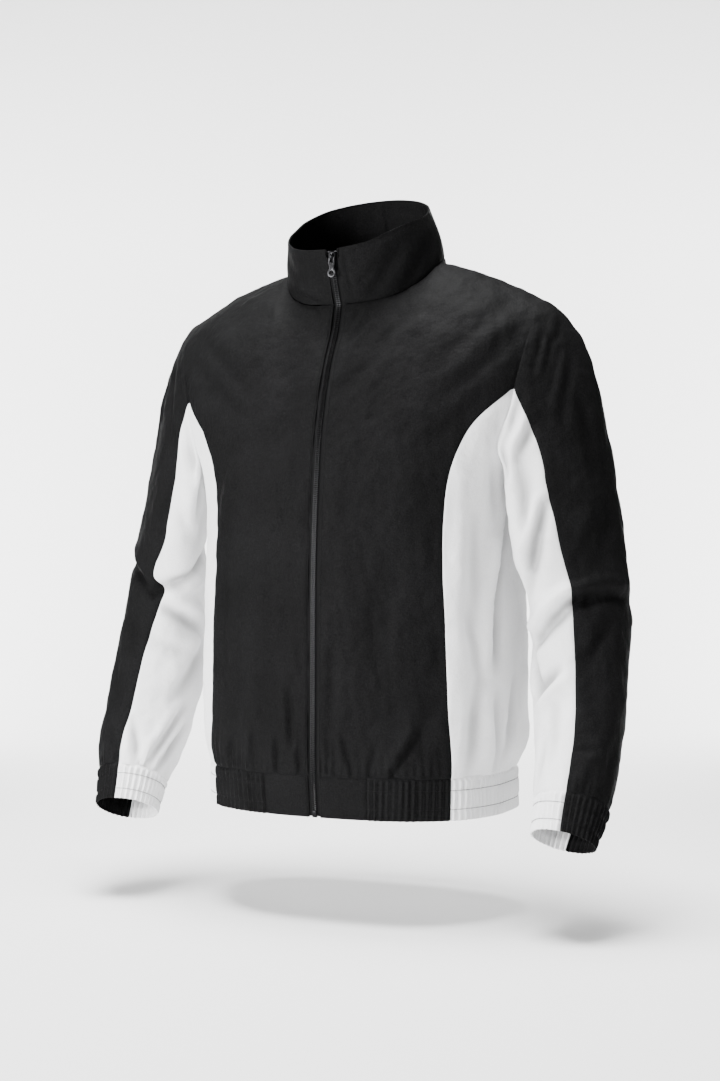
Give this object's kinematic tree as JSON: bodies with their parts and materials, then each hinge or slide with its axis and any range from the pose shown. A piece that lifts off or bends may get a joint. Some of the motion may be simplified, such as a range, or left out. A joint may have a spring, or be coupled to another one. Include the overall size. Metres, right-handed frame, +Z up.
{
  "type": "windbreaker",
  "caption": "Zip-front windbreaker with a stand collar, full sleeves, side panels in a second colour and elastic hem and cuffs, hollow and filled out as if worn.",
  "frame": {"origin": "middle of the neck base, where the wearer's neck holds the garment up", "axes": "+Z up towards the collar's rim, -Y the way the wearer faces, +X the wearer's left"},
  "size_m": [0.7028, 0.28, 0.8178],
  "materials": {
    "black_cloth": "light woven nylon with a soft sheen",
    "white_cloth": "light woven nylon with a soft sheen",
    "zip_tape": "matt woven tape",
    "zip_metal": "dark plated metal, satin",
    "pull_metal": "grey plated metal, satin"
  },
  "bodies": {
    "garment": {"back": "black_cloth", "collar": "black_cloth", "cuff_inner_left": "white_cloth", "cuff_inner_right": "white_cloth", "cuff_outer_left": "black_cloth", "cuff_outer_right": "black_cloth", "front_left": "black_cloth", "front_right": "black_cloth", "hem_back": "black_cloth", "hem_front_left": "black_cloth", "hem_front_right": "black_cloth", "hem_side_left": "white_cloth", "hem_side_right": "white_cloth", "hem_tab_left": "black_cloth", "hem_tab_right": "black_cloth", "side_left": "white_cloth", "side_right": "white_cloth", "sleeve_inner_left": "white_cloth", "sleeve_inner_right": "white_cloth", "sleeve_outer_left": "black_cloth", "sleeve_outer_right": "black_cloth", "slider": "zip_metal", "zip_box": "zip_metal", "zip_chain": "zip_metal", "zip_tape_left": "zip_tape", "zip_tape_right": "zip_tape"},
    "pull": {"pull_tab": "pull_metal"}
  },
  "joints": [
    {"name": "pull_hinge", "type": "hinge", "parent": "garment", "child": "pull", "pos_m": [0, -0.0861, 0.0213], "axis": [-1, 0, 0], "range_deg": [-8, 150]}
  ]
}
